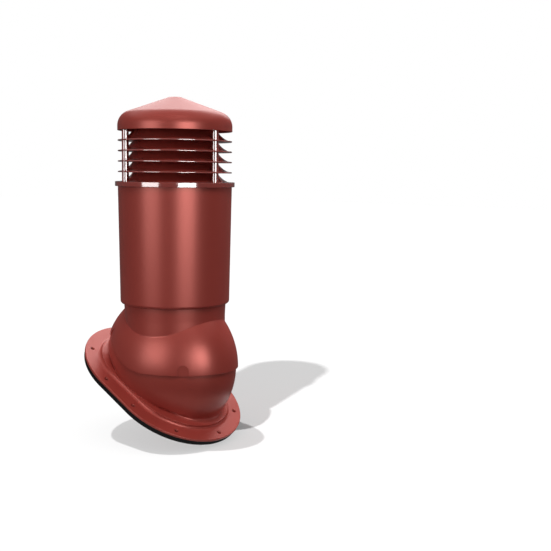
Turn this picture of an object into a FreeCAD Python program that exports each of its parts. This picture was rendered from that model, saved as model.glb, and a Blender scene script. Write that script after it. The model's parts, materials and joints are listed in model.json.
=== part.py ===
import FreeCAD, Part
import Sketcher
import math
import os
import re

# Roof vent pipe: a louvred rain cap on an insulated pipe, carried by a ball shaped hood
# that tilts in a roof base with an oval flange. Millimetres and degrees.
# +Z runs up the pipe, -Y is downhill, X is the tilt axis' direction, and the origin is the
# centre of the lower end of the duct spigot.

SIZES = {
    # duct and pipe
    "spigot_radius": 74.0,
    "duct_wall": 3.0,
    "spigot_length": 52.0,
    "spigot_free": 26.0,
    "spigot_step": 0.6,
    "bend_height": 82.0,
    "pipe_offset": 18.0,
    "lug_width": 24.0,
    "lug_height": 6.0,
    "lug_depth": 3.0,
    "lug_level": 27.0,
    "lug_angle": 46.5,
    "casing_radius": 112.5,
    "casing_foot_radius": 108.7,
    "casing_wall": 2.5,
    "casing_drop": 23.8,
    "casing_length": 232.1,
    "casing_lip_bend": 5.5,
    "sleeve_radius": 105.5,
    "sleeve_top_gap": 12.0,
    # louvre cage
    "collar_radius": 117.9,
    "collar_band": 9.1,
    "collar_skirt": 15.0,
    "collar_skirt_fit": 0.6,
    "louvre_radius": 112.2,
    "louvre_wall": 2.6,
    "louvre_lip": 8.2,
    "louvre_lip_rise": 1.0,
    "louvre_bend": 42.0,
    "louvre_throat": 80.7,
    "louvre_height": 26.6,
    "louvre_pitch": 20.3,
    "post_radius": 6.8,
    "post_circle": 101.0,
    "post_chamfer": 0.8,
    "boss_wall": 1.5,
    "boss_drop": 4.0,
    "socket_depth": 8.0,
    "screw_radius": 2.0,
    "screw_length": 18.0,
    "screw_head_radius": 4.2,
    "screw_head_height": 3.0,
    # rain cap
    "cap_radius": 112.8,
    "cap_height": 66.3,
    "cap_tip_radius": 11.7,
    "cap_slope": 19.65,
    "cap_shoulder": 30.0,
    "cap_wall": 3.0,
    "cap_clearance": 18.0,
    "cap_boss_level": 4.0,
    # tilting hood
    "tilt_offset": 6.0,
    "tilt_height": 46.5,
    "hood_radius": 149.4,
    "hood_half_width": 117.0,
    "hood_wall": 3.4,
    "rim_rise": 30.0,
    "rim_bend": 136.0,
    "neck_radius": 101.5,
    "neck_waist_radius": 100.4,
    "neck_waist_level": 101.5,
    "neck_wall": 3.0,
    "neck_socket": 28.0,
    "web_thickness": 4.0,
    "pad_width": 22.0,
    "pad_height": 21.0,
    "pad_depth": 1.9,
    "pad_facing": 50.0,
    # roof base
    "roof_pitch": 30.0,
    "hood_gap": 0.6,
    "base_wall": 3.0,
    "ball_foot": 24.0,
    "flange_straight": 41.5,
    "flange_shift": 3.5,
    "skirt_radius": 104.8,
    "plinth_radius": 109.0,
    "plinth_height": 8.0,
    "flange_radius": 141.5,
    "flange_depth": 43.8,
    "flange_thickness": 4.6,
    "opening_straight": 27.5,
    "opening_radius": 77.5,
    "opening_lean": 22.0,
    "screw_hole_radius": 2.4,
    "screw_hole_inset": 15.0,
    "screw_sink_radius": 4.6,
    "screw_sink_depth": 1.4,
    # roof seal
    "seal_height": 18.0,
    "seal_inset": 2.0,
    "seal_width": 26.0,
    "seal_bend": 6.0,
    # fits
    "part_fit": 0.3,
    "post_fit": 0.1,
}

LOUVRES = 4
POSTS = 3
HOLES_PER_END = 5

os.makedirs("parts", exist_ok=True)
doc = FreeCAD.newDocument("roof_vent_pipe")
sheet = doc.addObject("Spreadsheet::Sheet", "dims")
for row, (alias, value) in enumerate(SIZES.items(), start=1):
    sheet.set(f"A{row}", str(value))
    sheet.setAlias(f"A{row}", alias)
doc.recompute()


def bound(text):
    """Points every size named in an expression at its cell."""
    return re.sub(r"[a-z][a-z_0-9]*", lambda m: f"dims.{m[0]}" if m[0] in SIZES else m[0], str(text))


def new_body(label, along=None, up=None, tilt=None):
    body = doc.addObject("PartDesign::Body", label)
    body.Label = label
    if tilt is not None:
        body.Placement.Rotation = FreeCAD.Rotation(FreeCAD.Vector(1, 0, 0), 0)
        body.setExpression("Placement.Rotation.Angle", bound(tilt))
    if along is not None:
        body.setExpression("Placement.Base.y", bound(along))
    if up is not None:
        body.setExpression("Placement.Base.z", bound(up))
    return body


def origin_plane(body, role):
    return [f for f in body.Origin.OriginFeatures if f.Role == role][0]


def new_sketch(body, role, level="0"):
    """A sketch on one of the body's own origin planes, moved out of it by a level."""
    sketch = body.newObject("Sketcher::SketchObject", body.Label + "_sketch")
    sketch.AttachmentSupport = [(origin_plane(body, role), "")]
    sketch.MapMode = "FlatFace"
    if level != "0":
        sketch.setExpression("AttachmentOffset.Base.z", bound(level))
    return sketch


def pin_point(sketch, edge, end, spot):
    """Ties one end or centre of an edge to its bound place from the sketch's origin."""
    for kind, text in zip(("DistanceX", "DistanceY"), spot):
        value = float(sketch.evalExpression(bound(text)))
        index = sketch.addConstraint(Sketcher.Constraint(kind, -1, 1, edge, end, value))
        sketch.renameConstraint(index, f"{kind.lower()}_{edge}_{end}")
        sketch.setExpression(f"Constraints.{kind.lower()}_{edge}_{end}", bound(text))


def pin_radius(sketch, edge, text, value):
    index = sketch.addConstraint(Sketcher.Constraint("Radius", edge, value))
    sketch.renameConstraint(index, f"radius_{edge}")
    sketch.setExpression(f"Constraints.radius_{edge}", bound(text))


def draw_outline(sketch, corners, bends=None):
    """A closed outline through bound corners. bends gives, by the number of the corner that
    it starts from, an arc's radius, with a minus sign where it turns clockwise."""
    bends = bends or {}
    first = sketch.GeometryCount
    spots = [FreeCAD.Vector(*(float(sketch.evalExpression(bound(t))) for t in c), 0) for c in corners]
    starts = []
    for number, start in enumerate(spots):
        end = spots[(number + 1) % len(spots)]
        if number not in bends:
            sketch.addGeometry(Part.LineSegment(start, end), False)
            starts.append((1, 2))
            continue
        text = str(bends[number])
        clockwise = text.startswith("-")
        radius = float(sketch.evalExpression(bound(text.lstrip("-"))))
        chord = end - start
        rise = math.sqrt(max(radius ** 2 - (chord.Length / 2) ** 2, 0))
        side = FreeCAD.Vector(-chord.y, chord.x, 0).normalize()
        centre = (start + end) * 0.5 + side * (-rise if clockwise else rise)
        if clockwise:
            start, end = end, start
        from_angle = math.atan2(start.y - centre.y, start.x - centre.x)
        to_angle = math.atan2(end.y - centre.y, end.x - centre.x)
        circle = Part.Circle(centre, FreeCAD.Vector(0, 0, 1), radius)
        edge = sketch.addGeometry(Part.ArcOfCircle(circle, from_angle, to_angle), False)
        pin_radius(sketch, edge, text.lstrip("-"), radius)
        starts.append((2, 1) if clockwise else (1, 2))
    for number, (start_end, end_end) in enumerate(starts):
        after = (number + 1) % len(starts)
        sketch.addConstraint(Sketcher.Constraint("Coincident", first + number, end_end,
                                                 first + after, starts[after][0]))
        pin_point(sketch, first + number, start_end, corners[number])


def draw_circle(sketch, spot, radius):
    value = float(sketch.evalExpression(bound(radius)))
    circle = Part.Circle(FreeCAD.Vector(0, 0, 0), FreeCAD.Vector(0, 0, 1), value)
    edge = sketch.addGeometry(circle, False)
    pin_radius(sketch, edge, radius, value)
    pin_point(sketch, edge, 3, spot)


def feature(body, kind, sketch, **settings):
    """Adds a feature of the sketch to the body. Text among the settings is a bound size."""
    item = body.newObject("PartDesign::" + kind, body.Label + "_" + kind.lower())
    item.Profile = sketch
    for name, value in settings.items():
        if isinstance(value, str) and name != "Type":
            item.setExpression(name, bound(value))
        else:
            setattr(item, name, value)
    sketch.Visibility = False
    doc.recompute()
    return item


def turn(body, corners, bends=None, cut=False):
    """A full turn about the body's own Z axis of an outline in radius and height."""
    sketch = new_sketch(body, "XZ_Plane")
    draw_outline(sketch, corners, bends)
    return feature(body, "Groove" if cut else "Revolution", sketch,
                   ReferenceAxis=(sketch, ["V_Axis"]), Angle=360.0)


def rods(body, spots, radius, low, high, cut=False):
    """Round bosses or holes along Z at the given spots, between two levels."""
    sketch = new_sketch(body, "XY_Plane", low)
    for spot in spots:
        draw_circle(sketch, spot, radius)
    return feature(body, "Pocket" if cut else "Pad", sketch, Length=f"({high})-({low})", Reversed=cut)


def prism(body, corners, bends, low, high, cut=False):
    """An outline in X and Y carried up from one level to another."""
    sketch = new_sketch(body, "XY_Plane", low)
    draw_outline(sketch, corners, bends)
    return feature(body, "Pocket" if cut else "Pad", sketch, Length=f"({high})-({low})", Reversed=cut)


def post_spots(circle="post_circle"):
    """The posts stand downhill and a third of a turn to each side."""
    return [(f"{circle} * cos({angle})", f"{circle} * sin({angle})")
            for angle in (360 * n / POSTS - 90 for n in range(POSTS))]


PIPE = "-pipe_offset"
CASING_FOOT = "(tilt_height + hood_radius - casing_drop)"
CASING_TOP = f"{CASING_FOOT} + casing_length"
LOUVRE_FOOT = f"{CASING_TOP} + collar_band - louvre_wall"
CAP_FOOT = f"{LOUVRE_FOOT} + {LOUVRES} * louvre_pitch + cap_clearance + louvre_wall"


# rain cap: a shallow cone with a rounded shoulder and a short skirt, moulded as one shell
def make_rain_cap():
    body = new_body("rain_cap", PIPE, CAP_FOOT)
    reach = "cap_shoulder * tan((90 - cap_slope) / 2)"
    corner_level = "cap_height - (cap_radius - cap_tip_radius) * tan(cap_slope)"
    skirt_top = f"{corner_level} - {reach}"
    cone_radius = f"cap_radius - {reach} * cos(cap_slope)"
    cone_level = f"{corner_level} + {reach} * sin(cap_slope)"
    inner_tip = "cap_height - cap_wall / cos(cap_slope)"
    outside = [("0", "cap_height"), ("cap_tip_radius", "cap_height"), (cone_radius, cone_level),
               ("cap_radius", skirt_top), ("cap_radius", "0")]
    inside = [("cap_radius - cap_wall", "0"), ("cap_radius - cap_wall", skirt_top),
              (f"{cone_radius} - cap_wall * sin(cap_slope)", f"{cone_level} - cap_wall * cos(cap_slope)"),
              ("cap_tip_radius", inner_tip), ("0", inner_tip)]
    turn(body, outside + inside, {2: "-cap_shoulder", 6: "cap_shoulder - cap_wall"})
    rods(body, post_spots(), "post_radius + boss_wall", "cap_boss_level", "cap_height")
    clear = ("cap_radius + post_circle", "2 * cap_height")
    turn(body, outside + [(clear[0], "0"), clear, ("0", clear[1])], {2: "-cap_shoulder"}, True)
    rods(body, post_spots(), "post_radius + post_fit", "cap_boss_level", "cap_boss_level + socket_depth", True)
    return body


FLARE = [("louvre_radius - louvre_lip", "louvre_wall + louvre_lip_rise"),
         ("louvre_throat", "louvre_height")]


# louvre ring: a flat lip that flares up into a throat, so that rain runs out and air rises
def make_louvre(number):
    level = f"{LOUVRE_FOOT} + {LOUVRES + 1 - number} * louvre_pitch"
    body = new_body(f"louvre_ring_{number}", PIPE, level)
    turn(body, [("louvre_radius", "0"), ("louvre_radius", "louvre_wall"), FLARE[0], FLARE[1],
                ("louvre_throat - louvre_wall", "louvre_height"),
                ("louvre_radius - louvre_lip", "louvre_lip_rise")],
         {2: "-louvre_bend", 4: "louvre_bend + louvre_wall"})
    rods(body, post_spots(), "post_radius + post_fit", "0", "louvre_height", True)
    return body


# top collar: a plain band over the pipe with the lowest flare and a skirt that plugs the casing
def make_collar():
    body = new_body("top_collar", PIPE, CASING_TOP)
    plug = "casing_radius - casing_wall - collar_skirt_fit"
    rim = "collar_band - louvre_wall"
    throat = f"{rim} + louvre_height"
    turn(body, [("collar_radius", "0"), ("collar_radius", "collar_band"),
                (FLARE[0][0], f"{rim} + {FLARE[0][1]}"), ("louvre_throat", throat),
                ("spigot_radius + part_fit", throat), ("spigot_radius + part_fit", f"{throat} - louvre_wall"),
                ("louvre_throat - louvre_wall", f"{throat} - louvre_wall"),
                ("louvre_radius - louvre_lip", f"{rim} + louvre_lip_rise"),
                (f"{plug} - casing_wall", f"{rim} + louvre_lip_rise"), (f"{plug} - casing_wall", "-collar_skirt"),
                (plug, "-collar_skirt"), (plug, "0")],
         {2: "-louvre_bend", 6: "louvre_bend + louvre_wall"})
    rods(body, post_spots(), "post_radius + boss_wall", "-boss_drop", f"{rim} + louvre_lip_rise")
    rods(body, post_spots(), "post_radius + post_fit", "0", throat, True)
    rods(body, post_spots(), "screw_radius + part_fit", "-boss_drop", "0", True)
    return body


# cage post: a round rod from its socket in the collar to its socket under the cap
def make_post(number):
    x, y = post_spots()[number]
    body = new_body(f"cage_post_{number + 1}", f"{PIPE} + ({y})", CASING_TOP)
    body.setExpression("Placement.Base.x", bound(x))
    top = f"({CAP_FOOT}) - ({CASING_TOP}) + cap_boss_level + socket_depth - part_fit"
    turn(body, [("0", "0"), ("post_radius - post_chamfer", "0"), ("post_radius", "post_chamfer"),
                ("post_radius", f"{top} - post_chamfer"), ("post_radius - post_chamfer", top), ("0", top)])
    rods(body, [("0", "0")], "screw_radius", "0", "screw_length - boss_drop + part_fit", True)
    return body


# cage screws: pan head screws that go up through the collar's bosses into the posts
def make_screws():
    body = new_body("cage_screws", PIPE, f"{CASING_TOP} - boss_drop")
    rods(body, post_spots(), "screw_radius", "0", "screw_length")
    rods(body, post_spots(), "screw_head_radius", "-screw_head_height", "0")
    return body


# outer casing: a slightly tapered pipe whose lower edge is rolled in to the neck of the hood
def make_casing():
    body = new_body("outer_casing", PIPE, CASING_FOOT)
    taper = "(casing_radius - casing_foot_radius) / casing_length"
    lip = "neck_radius + part_fit"
    turn(body, [("casing_foot_radius", "casing_lip_bend"), ("casing_radius", "casing_length"),
                ("casing_radius - casing_wall", "casing_length"),
                ("casing_foot_radius - casing_wall", "casing_lip_bend"),
                ("casing_foot_radius - casing_lip_bend", "casing_wall"), (lip, "casing_wall"), (lip, "0"),
                ("casing_foot_radius - casing_lip_bend", "0")],
         {3: "-(casing_lip_bend - casing_wall)", 7: "casing_lip_bend"})
    return body


# insulation sleeve: a foam tube between the duct and the casing
def make_sleeve():
    body = new_body("insulation_sleeve", PIPE, f"{CASING_FOOT} + neck_socket + part_fit")
    top = "casing_length - neck_socket - sleeve_top_gap"
    turn(body, [("spigot_radius + part_fit", "0"), ("sleeve_radius", "0"), ("sleeve_radius", top),
                ("spigot_radius + part_fit", top)])
    return body


# inner duct: straight in the pipe, sheared uphill inside the ball, then the round spigot, whose
# lower half is a step smaller, so that the roof's duct is pushed on up to the step and the lugs
def make_duct():
    body = new_body("inner_duct")
    top = f"{CASING_TOP} + collar_band - louvre_wall + louvre_height"
    bend_top = "spigot_length + bend_height"
    bore = "spigot_radius - duct_wall"
    for cut, radius, shoulder in ((False, "spigot_radius", "spigot_radius + spigot_step"), (True, bore, bore)):
        sections = []
        for level, along, size in (("spigot_length", "0", shoulder), (bend_top, "-pipe_offset", radius)):
            sketch = new_sketch(body, "XY_Plane", level)
            draw_circle(sketch, ("0", along), size)
            sections.append(sketch)
        loft = feature(body, "SubtractiveLoft" if cut else "AdditiveLoft", sections[0], Sections=sections[1:])
        loft.Ruled = True
        rods(body, [("0", "0")], radius, "0", "spigot_free", cut)
        rods(body, [("0", "0")], shoulder, "spigot_free", "spigot_length", cut)
        rods(body, [("0", "-pipe_offset")], radius, bend_top, top, cut)
    for side in (-1, 1):
        spots = []
        for out, across in ((0, -1), (0, 1), (1, 1), (1, -1)):
            reach = f"(spigot_radius - duct_wall / 2 + {out} * (duct_wall / 2 + lug_depth))"
            wide = f"({across} * lug_width / 2)"
            spots.append((f"{side} * ({reach} * sin(lug_angle) + {wide} * cos(lug_angle))",
                          f"-{reach} * cos(lug_angle) + {wide} * sin(lug_angle)"))
        prism(body, spots, {}, "lug_level", "lug_level + lug_height")
    return body


# oval of four arcs: two crowns and two flatter cheeks, pulled in evenly by an inset
CROWN = "(hood_half_width ^ 2 / hood_radius)"
CHEEK = f"((hood_half_width ^ 2 + hood_radius ^ 2 - 2 * hood_radius * {CROWN})" \
        f" / (2 * (hood_half_width - {CROWN})))"


def oval_join(inset):
    """Where a crown meets a cheek: distance from the middle across and along."""
    across = f"(({CHEEK} - {inset}) / ({CHEEK} - {CROWN}) - 1) * ({CHEEK} - hood_half_width)"
    along = f"({CHEEK} - {inset}) * (hood_radius - {CROWN}) / ({CHEEK} - {CROWN})"
    return across, along


def ball(body, inset, cut=False):
    """The oval's half turned about the X axis."""
    across, along = oval_join(inset)
    sketch = new_sketch(body, "XY_Plane")
    draw_outline(sketch, [(f"hood_half_width - {inset}", "0"), (across, along),
                          (f"-({across})", along), (f"-(hood_half_width - {inset})", "0")],
                 {0: f"{CHEEK} - {inset}", 1: f"{CROWN} - {inset}", 2: f"{CHEEK} - {inset}"})
    return feature(body, "Groove" if cut else "Revolution", sketch,
                   ReferenceAxis=(sketch, ["H_Axis"]), Angle=360.0)


PAD_ACROSS = f"({CHEEK} * sin(pad_facing) - ({CHEEK} - hood_half_width))"
PAD_ALONG = f"({CHEEK} * cos(pad_facing))"


# tilting hood: a ball with a short neck, open below a rim that is level downhill and rises uphill
def make_hood():
    body = new_body("tilt_hood", "-tilt_offset", "tilt_height")
    axis = "-(pipe_offset - tilt_offset)"
    neck_foot = f"({CASING_FOOT} - tilt_height)"
    neck_top = f"{neck_foot} + neck_socket"
    neck_bore = f"{axis} + neck_waist_radius - neck_wall"
    duct_bore = f"{axis} + spigot_radius + part_fit"
    ball(body, "0")
    turn_neck(body, [(axis, "0"), (f"{axis} + neck_waist_radius", "0"),
                     (f"{axis} + neck_waist_radius", "neck_waist_level"),
                     (f"{axis} + neck_radius", neck_foot), (f"{axis} + neck_radius", neck_top),
                     (axis, neck_top)], False)
    ball(body, "hood_wall", True)
    turn_neck(body, [(axis, "0"), (neck_bore, "0"), (neck_bore, f"{neck_top} - web_thickness"),
                     (duct_bore, f"{neck_top} - web_thickness"), (duct_bore, f"{neck_top} + web_thickness"),
                     (axis, f"{neck_top} + web_thickness")], True)
    cut_below_rim(body)
    for leaning in (False, True):
        plane = pad_plane(body, leaning)
        for side in (-1, 1):
            cut_pad(body, plane, side, leaning)
    return body


def turn_neck(body, corners, cut):
    """A full turn about the neck's axis, which is the outline's last edge."""
    sketch = new_sketch(body, "YZ_Plane")
    draw_outline(sketch, corners)
    feature(body, "Groove" if cut else "Revolution", sketch,
            ReferenceAxis=(sketch, [f"Edge{len(corners)}"]), Angle=360.0)


def cut_below_rim(body):
    """Opens the ball below a rim that is level downhill and bends up on the uphill side."""
    bend = "rim_bend * tan(rim_rise / 2)"
    far = "2 * hood_radius"
    sketch = new_sketch(body, "YZ_Plane")
    draw_outline(sketch, [(f"-{far}", "0"), (f"-{bend}", "0"),
                          (f"{bend} * cos(rim_rise)", f"{bend} * sin(rim_rise)"),
                          (f"{far} * cos(rim_rise)", f"{far} * sin(rim_rise)"),
                          (far, f"-{far}"), (f"-{far}", f"-{far}")], {1: "rim_bend"})
    feature(body, "Pocket", sketch, Length=far, Midplane=True)


def pad_plane(body, leaning):
    """The upright plane through the tilt axis. Uphill it leans back as the rim rises."""
    plane = body.newObject("PartDesign::Plane", body.Label + "_pad_plane")
    plane.AttachmentSupport = [(origin_plane(body, "XZ_Plane"), "")]
    plane.MapMode = "FlatFace"
    if leaning:
        plane.AttachmentOffset = FreeCAD.Placement(FreeCAD.Vector(0, 0, 0),
                                                   FreeCAD.Rotation(FreeCAD.Vector(1, 0, 0), 1))
        plane.setExpression("AttachmentOffset.Rotation.Angle", bound("rim_rise"))
    doc.recompute()
    return plane


def cut_pad(body, plane, side, leaning):
    """A flat arch topped seat for a locking screw, cut square into the ball beside the rim."""
    sketch = body.newObject("Sketcher::SketchObject", body.Label + "_sketch")
    sketch.AttachmentSupport = [(plane, "")]
    sketch.MapMode = "FlatFace"
    sketch.AttachmentOffset = FreeCAD.Placement(FreeCAD.Vector(0, 0, 0),
                                                FreeCAD.Rotation(FreeCAD.Vector(0, 1, 0), 90))
    facing = "(180 - pad_facing)" if leaning else "pad_facing"
    sketch.setExpression("AttachmentOffset.Rotation.Angle", bound(f"{side} * {facing}"))
    sketch.setExpression("AttachmentOffset.Base.x", bound(f"{side} * {PAD_ACROSS}"))
    sketch.setExpression("AttachmentOffset.Base.z", bound(f"{-1 if leaning else 1} * {PAD_ALONG}"))
    doc.recompute()
    half = "pad_width / 2"
    draw_outline(sketch, [(half, f"-{half}"), (half, f"pad_height - {half}"), ("0", "pad_height"),
                          (f"-{half}", f"pad_height - {half}"), (f"-{half}", f"-{half}")],
                 {1: half, 2: half})
    feature(body, "Pocket", sketch, Length="pad_depth")


def stadium(radius, straight="flange_straight", shift="-flange_shift"):
    """Two half rounds joined by straight sides, long along Y."""
    return [(radius, f"{shift} + {straight}"), ("0", f"{shift} + {straight} + {radius}"),
            (f"-({radius})", f"{shift} + {straight}"), (f"-({radius})", f"{shift} - {straight}"),
            ("0", f"{shift} - {straight} - ({radius})"), (radius, f"{shift} - {straight}")], \
           {0: radius, 1: radius, 3: radius, 4: radius}


# roof base: a ball that widens into an oval skirt, a plinth and a flange with screw holes
def make_base():
    body = new_body("roof_base", "-tilt_offset", "tilt_height", "roof_pitch")
    outer = "(hood_wall + hood_gap)"
    inner = f"({outer} + base_wall)"
    plinth_top = "-flange_depth + plinth_height"
    ball(body, outer)
    ball(body, inner, True)
    prism(body, *stadium("hood_radius"), "-hood_radius", "-ball_foot", True)
    skirt_loft(body, outer, "skirt_radius", plinth_top)
    prism(body, *stadium("plinth_radius"), "-flange_depth", plinth_top)
    prism(body, *stadium("flange_radius"), "-flange_depth - flange_thickness", "-flange_depth")
    skirt_loft(body, inner, "(skirt_radius - base_wall)", plinth_top, True)
    prism(body, *stadium("skirt_radius - base_wall"), "-flange_depth - flange_thickness", plinth_top, True)
    cut_duct_opening(body)
    spots = hole_spots()
    rods(body, spots, "screw_hole_radius", "-flange_depth - flange_thickness", "-flange_depth", True)
    rods(body, spots, "screw_sink_radius", "-flange_depth - screw_sink_depth", "-flange_depth", True)
    return body


def all_round(end_corners):
    """Ten corners from a rule that gives a side, a shoulder and a tip for each end."""
    side, shoulder, tip = end_corners(1)
    low_side, low_shoulder, low_tip = end_corners(-1)

    def left(corner):
        return f"-({corner[0]})", corner[1]
    return [side, shoulder, tip, left(shoulder), left(side), left(low_side), left(low_shoulder),
            low_tip, low_shoulder, low_side]


def belly(inset):
    """The ball's oval, split where the skirt's foot is."""
    def end_corners(end):
        across, along = oval_join(inset)
        level = f"({end} * flange_straight - flange_shift)"
        side = f"(sqrt(({CHEEK} - {inset}) ^ 2 - {level} ^ 2) - ({CHEEK} - hood_half_width))"
        return (side, level), (across, f"{end} * {along}"), ("0", f"{end} * (hood_radius - {inset})")
    crowns = dict.fromkeys((1, 2, 6, 7), f"{CROWN} - {inset}")
    return all_round(end_corners), dict.fromkeys(range(10), f"{CHEEK} - {inset}") | crowns


def skirt_foot(radius):
    """A stadium, split where its skin faces as the oval's does at its joins."""
    def end_corners(end):
        centre = f"({end} * flange_straight - flange_shift)"
        across = f"{radius} * ({CHEEK} - hood_half_width) / ({CHEEK} - {CROWN})"
        along = f"{radius} * (hood_radius - {CROWN}) / ({CHEEK} - {CROWN})"
        return (radius, centre), (across, f"{centre} + {end} * {along}"), ("0", f"{centre} + {end} * {radius}")
    return all_round(end_corners), dict.fromkeys((0, 1, 2, 3, 5, 6, 7, 8), radius)


def skirt_loft(body, inset, radius, foot, cut=False):
    """Carries the ball's oval belly down to the skirt's straight sided foot."""
    top = new_sketch(body, "XY_Plane", "-ball_foot")
    draw_outline(top, *belly(f"({inset} + ball_foot ^ 2 / (2 * hood_half_width))"))
    below = new_sketch(body, "XY_Plane", foot)
    draw_outline(below, *skirt_foot(radius))
    feature(body, "SubtractiveLoft" if cut else "AdditiveLoft", top, Sections=[below])


def cut_duct_opening(body):
    """The long opening that lets the duct lean through the ball over the whole tilt."""
    sketch = new_sketch(body, "XY_Plane")
    sketch.AttachmentOffset = FreeCAD.Placement(FreeCAD.Vector(0, 0, 0),
                                                FreeCAD.Rotation(FreeCAD.Vector(1, 0, 0), -1))
    sketch.setExpression("AttachmentOffset.Rotation.Angle", bound("-opening_lean"))
    doc.recompute()
    draw_outline(sketch, *stadium("opening_radius", "opening_straight", "0"))
    feature(body, "Pocket", sketch, Length="2 * hood_radius", Reversed=True)


def hole_spots():
    """Screw holes at even angles round both ends of the flange."""
    ring = "(flange_radius - screw_hole_inset)"
    step = 180 / (HOLES_PER_END - 1)
    return [(f"{end} * {ring} * cos({step * n})",
             f"-flange_shift + {end} * (flange_straight + {ring} * sin({step * n}))")
            for end in (-1, 1) for n in range(HOLES_PER_END)]


# roof seal: a soft rubber ring under the flange with a rounded outer edge
def make_seal():
    body = new_body("roof_seal", "-tilt_offset", "tilt_height", "roof_pitch")
    top = "-flange_depth - flange_thickness"
    outer = "flange_radius - seal_inset"
    path = new_sketch(body, "XY_Plane", top)
    corners, bends = stadium(f"({outer})")
    draw_outline(path, corners, bends)
    section = new_sketch(body, "XZ_Plane", "flange_shift - flange_straight")
    draw_outline(section, [(f"{outer} - seal_width", f"{top} - seal_height"),
                           (f"{outer} - seal_bend", f"{top} - seal_height"),
                           (outer, f"{top} - seal_height + seal_bend"), (outer, top),
                           (f"{outer} - seal_width", top)], {1: "seal_bend"})
    feature(body, "AdditivePipe", section,
            Spine=(path, [f"Edge{n}" for n in range(1, len(corners) + 1)]))
    return body


make_rain_cap()
for number in range(1, LOUVRES + 1):
    make_louvre(number)
for number in range(POSTS):
    make_post(number)
make_screws()
make_collar()
make_casing()
make_sleeve()
make_duct()
make_hood()
make_base()
make_seal()
doc.recompute()

failed = [item.Label for item in doc.Objects if {"Invalid", "Error"} & set(item.State)]
bodies = [item for item in doc.Objects if item.TypeId == "PartDesign::Body"]
failed += [body.Label for body in bodies if body.Shape.isNull() or not body.Shape.isValid()]
if failed:
    raise RuntimeError("these did not build: " + ", ".join(failed))
for body in bodies:
    body.Shape.exportStep(f"parts/{body.Label}.step")
    print(body.Label, len(body.Shape.Solids), round(body.Shape.Volume / 1000, 2))
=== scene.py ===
"""Looks of a roof vent pipe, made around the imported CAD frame.

Every size is in metres, in the frame's own axes: Z runs up the pipe, -Y is downhill and X is
the tilt axis.
"""

import json
import math
from collections import namedtuple

import bmesh
import bpy
import numpy as np
from bpy.props import FloatProperty, FloatVectorProperty, IntProperty, PointerProperty
from mathutils import Matrix, Vector


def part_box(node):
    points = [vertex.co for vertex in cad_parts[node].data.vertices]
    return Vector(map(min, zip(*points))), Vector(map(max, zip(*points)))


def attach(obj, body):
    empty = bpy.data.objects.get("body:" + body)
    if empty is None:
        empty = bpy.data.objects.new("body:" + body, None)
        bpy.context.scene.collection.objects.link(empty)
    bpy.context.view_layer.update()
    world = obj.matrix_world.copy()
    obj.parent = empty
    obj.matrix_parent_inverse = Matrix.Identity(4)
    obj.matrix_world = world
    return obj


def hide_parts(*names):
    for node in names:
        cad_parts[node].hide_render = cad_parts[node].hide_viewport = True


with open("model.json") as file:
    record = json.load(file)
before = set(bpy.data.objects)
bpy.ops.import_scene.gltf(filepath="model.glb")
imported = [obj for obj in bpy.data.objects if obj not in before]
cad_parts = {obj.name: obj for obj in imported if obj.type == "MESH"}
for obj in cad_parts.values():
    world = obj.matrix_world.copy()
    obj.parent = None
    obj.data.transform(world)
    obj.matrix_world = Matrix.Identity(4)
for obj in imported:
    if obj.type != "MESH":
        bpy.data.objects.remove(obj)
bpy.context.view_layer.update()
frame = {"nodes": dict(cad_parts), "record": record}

bl_info = {
    "name": "Roof Vent Pipe",
    "version": (1, 0, 0),
    "blender": (4, 5, 0),
    "location": "View3D > Sidebar > Roof Vent",
    "description": "Builds the looks of a roof vent pipe with a tilting hood around its CAD frame",
    "category": "Object",
}

LOUVRES = ["louvre_ring_1", "louvre_ring_2", "louvre_ring_3", "louvre_ring_4"]
POSTS = ["cage_post_1", "cage_post_2", "cage_post_3"]

# Faces that meet at more than this get an edge in their shading, on turned pieces and on oval ones.
TURNED_CREASE = math.radians(40)
OVAL_CREASE = math.radians(30)
# Points nearer than this are one.
SAME_PLACE = 1e-6
# How far a cutter runs past the face that it opens.
OVERSHOOT = 0.004
# Sides of round forms, from the pipe down to the screw holes.
PIPE_SIDES, POST_SIDES, BORE_SIDES, HOLE_SIDES = 192, 64, 48, 32
# Steps on the arcs of the flare, the screw pads' arches, the small edges and the duct's opening.
FLARE_STEPS, ARCH_STEPS, EDGE_STEPS, OPENING_STEPS = 20, 24, 4, 40
# Rays round the hood's neck, and rings from its crease down to its rim.
HOOD_RAYS, HOOD_ROWS = 360, 44
# Heights of the rings in the neck's waist, as shares of the way up from the crease.
WAIST_SHARES = (1.0, 0.75, 0.5, 0.25, 0.06)
# Points round each end and along each side of the base's rings.
END_POINTS, SIDE_POINTS = 120, 30
# Rings down the base's ball, below its middle, and down its skirt.
BALL_ROWS, FOOT_ROWS, SKIRT_ROWS = 30, 9, 10
# Angle by which the base's ball stops short of its pole, where the duct's opening cuts it away.
POLE_GAP = 0.02
# Share of the skirt's height over which it keeps to the ball's slope.
SKIRT_LEAN = 0.95
# Halvings in each search along the ball, and the slope in radians of the lowest ray that looks for
# the hood's rim.
HALVINGS, LOWEST_SLOPE = 40, -0.2
# Rounding of a louvre's lip, as a share of its wall.
LIP_ROUNDING = 0.4


def low(node):
    """A node's lowest corner."""
    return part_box(node)[0]


def high(node):
    """A node's highest corner."""
    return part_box(node)[1]


def wide(node):
    """Half of a round node's width across X."""
    return (high(node).x - low(node).x) / 2


# The pipe's axis stands downhill of the origin, and the tilt's centre is the joint's.
PIPE_Y = (low("outer_casing").y + high("outer_casing").y) / 2
TILT = Vector(frame["record"]["behaviour"]["joints"][0]["pos_m"])


def linear(code):
    """An sRGB hex colour as linear RGB."""
    values = [int(code[i:i + 2], 16) / 255 for i in (1, 3, 5)]
    return [v / 12.92 if v <= 0.04045 else ((v + 0.055) / 1.055) ** 2.4 for v in values]


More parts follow.
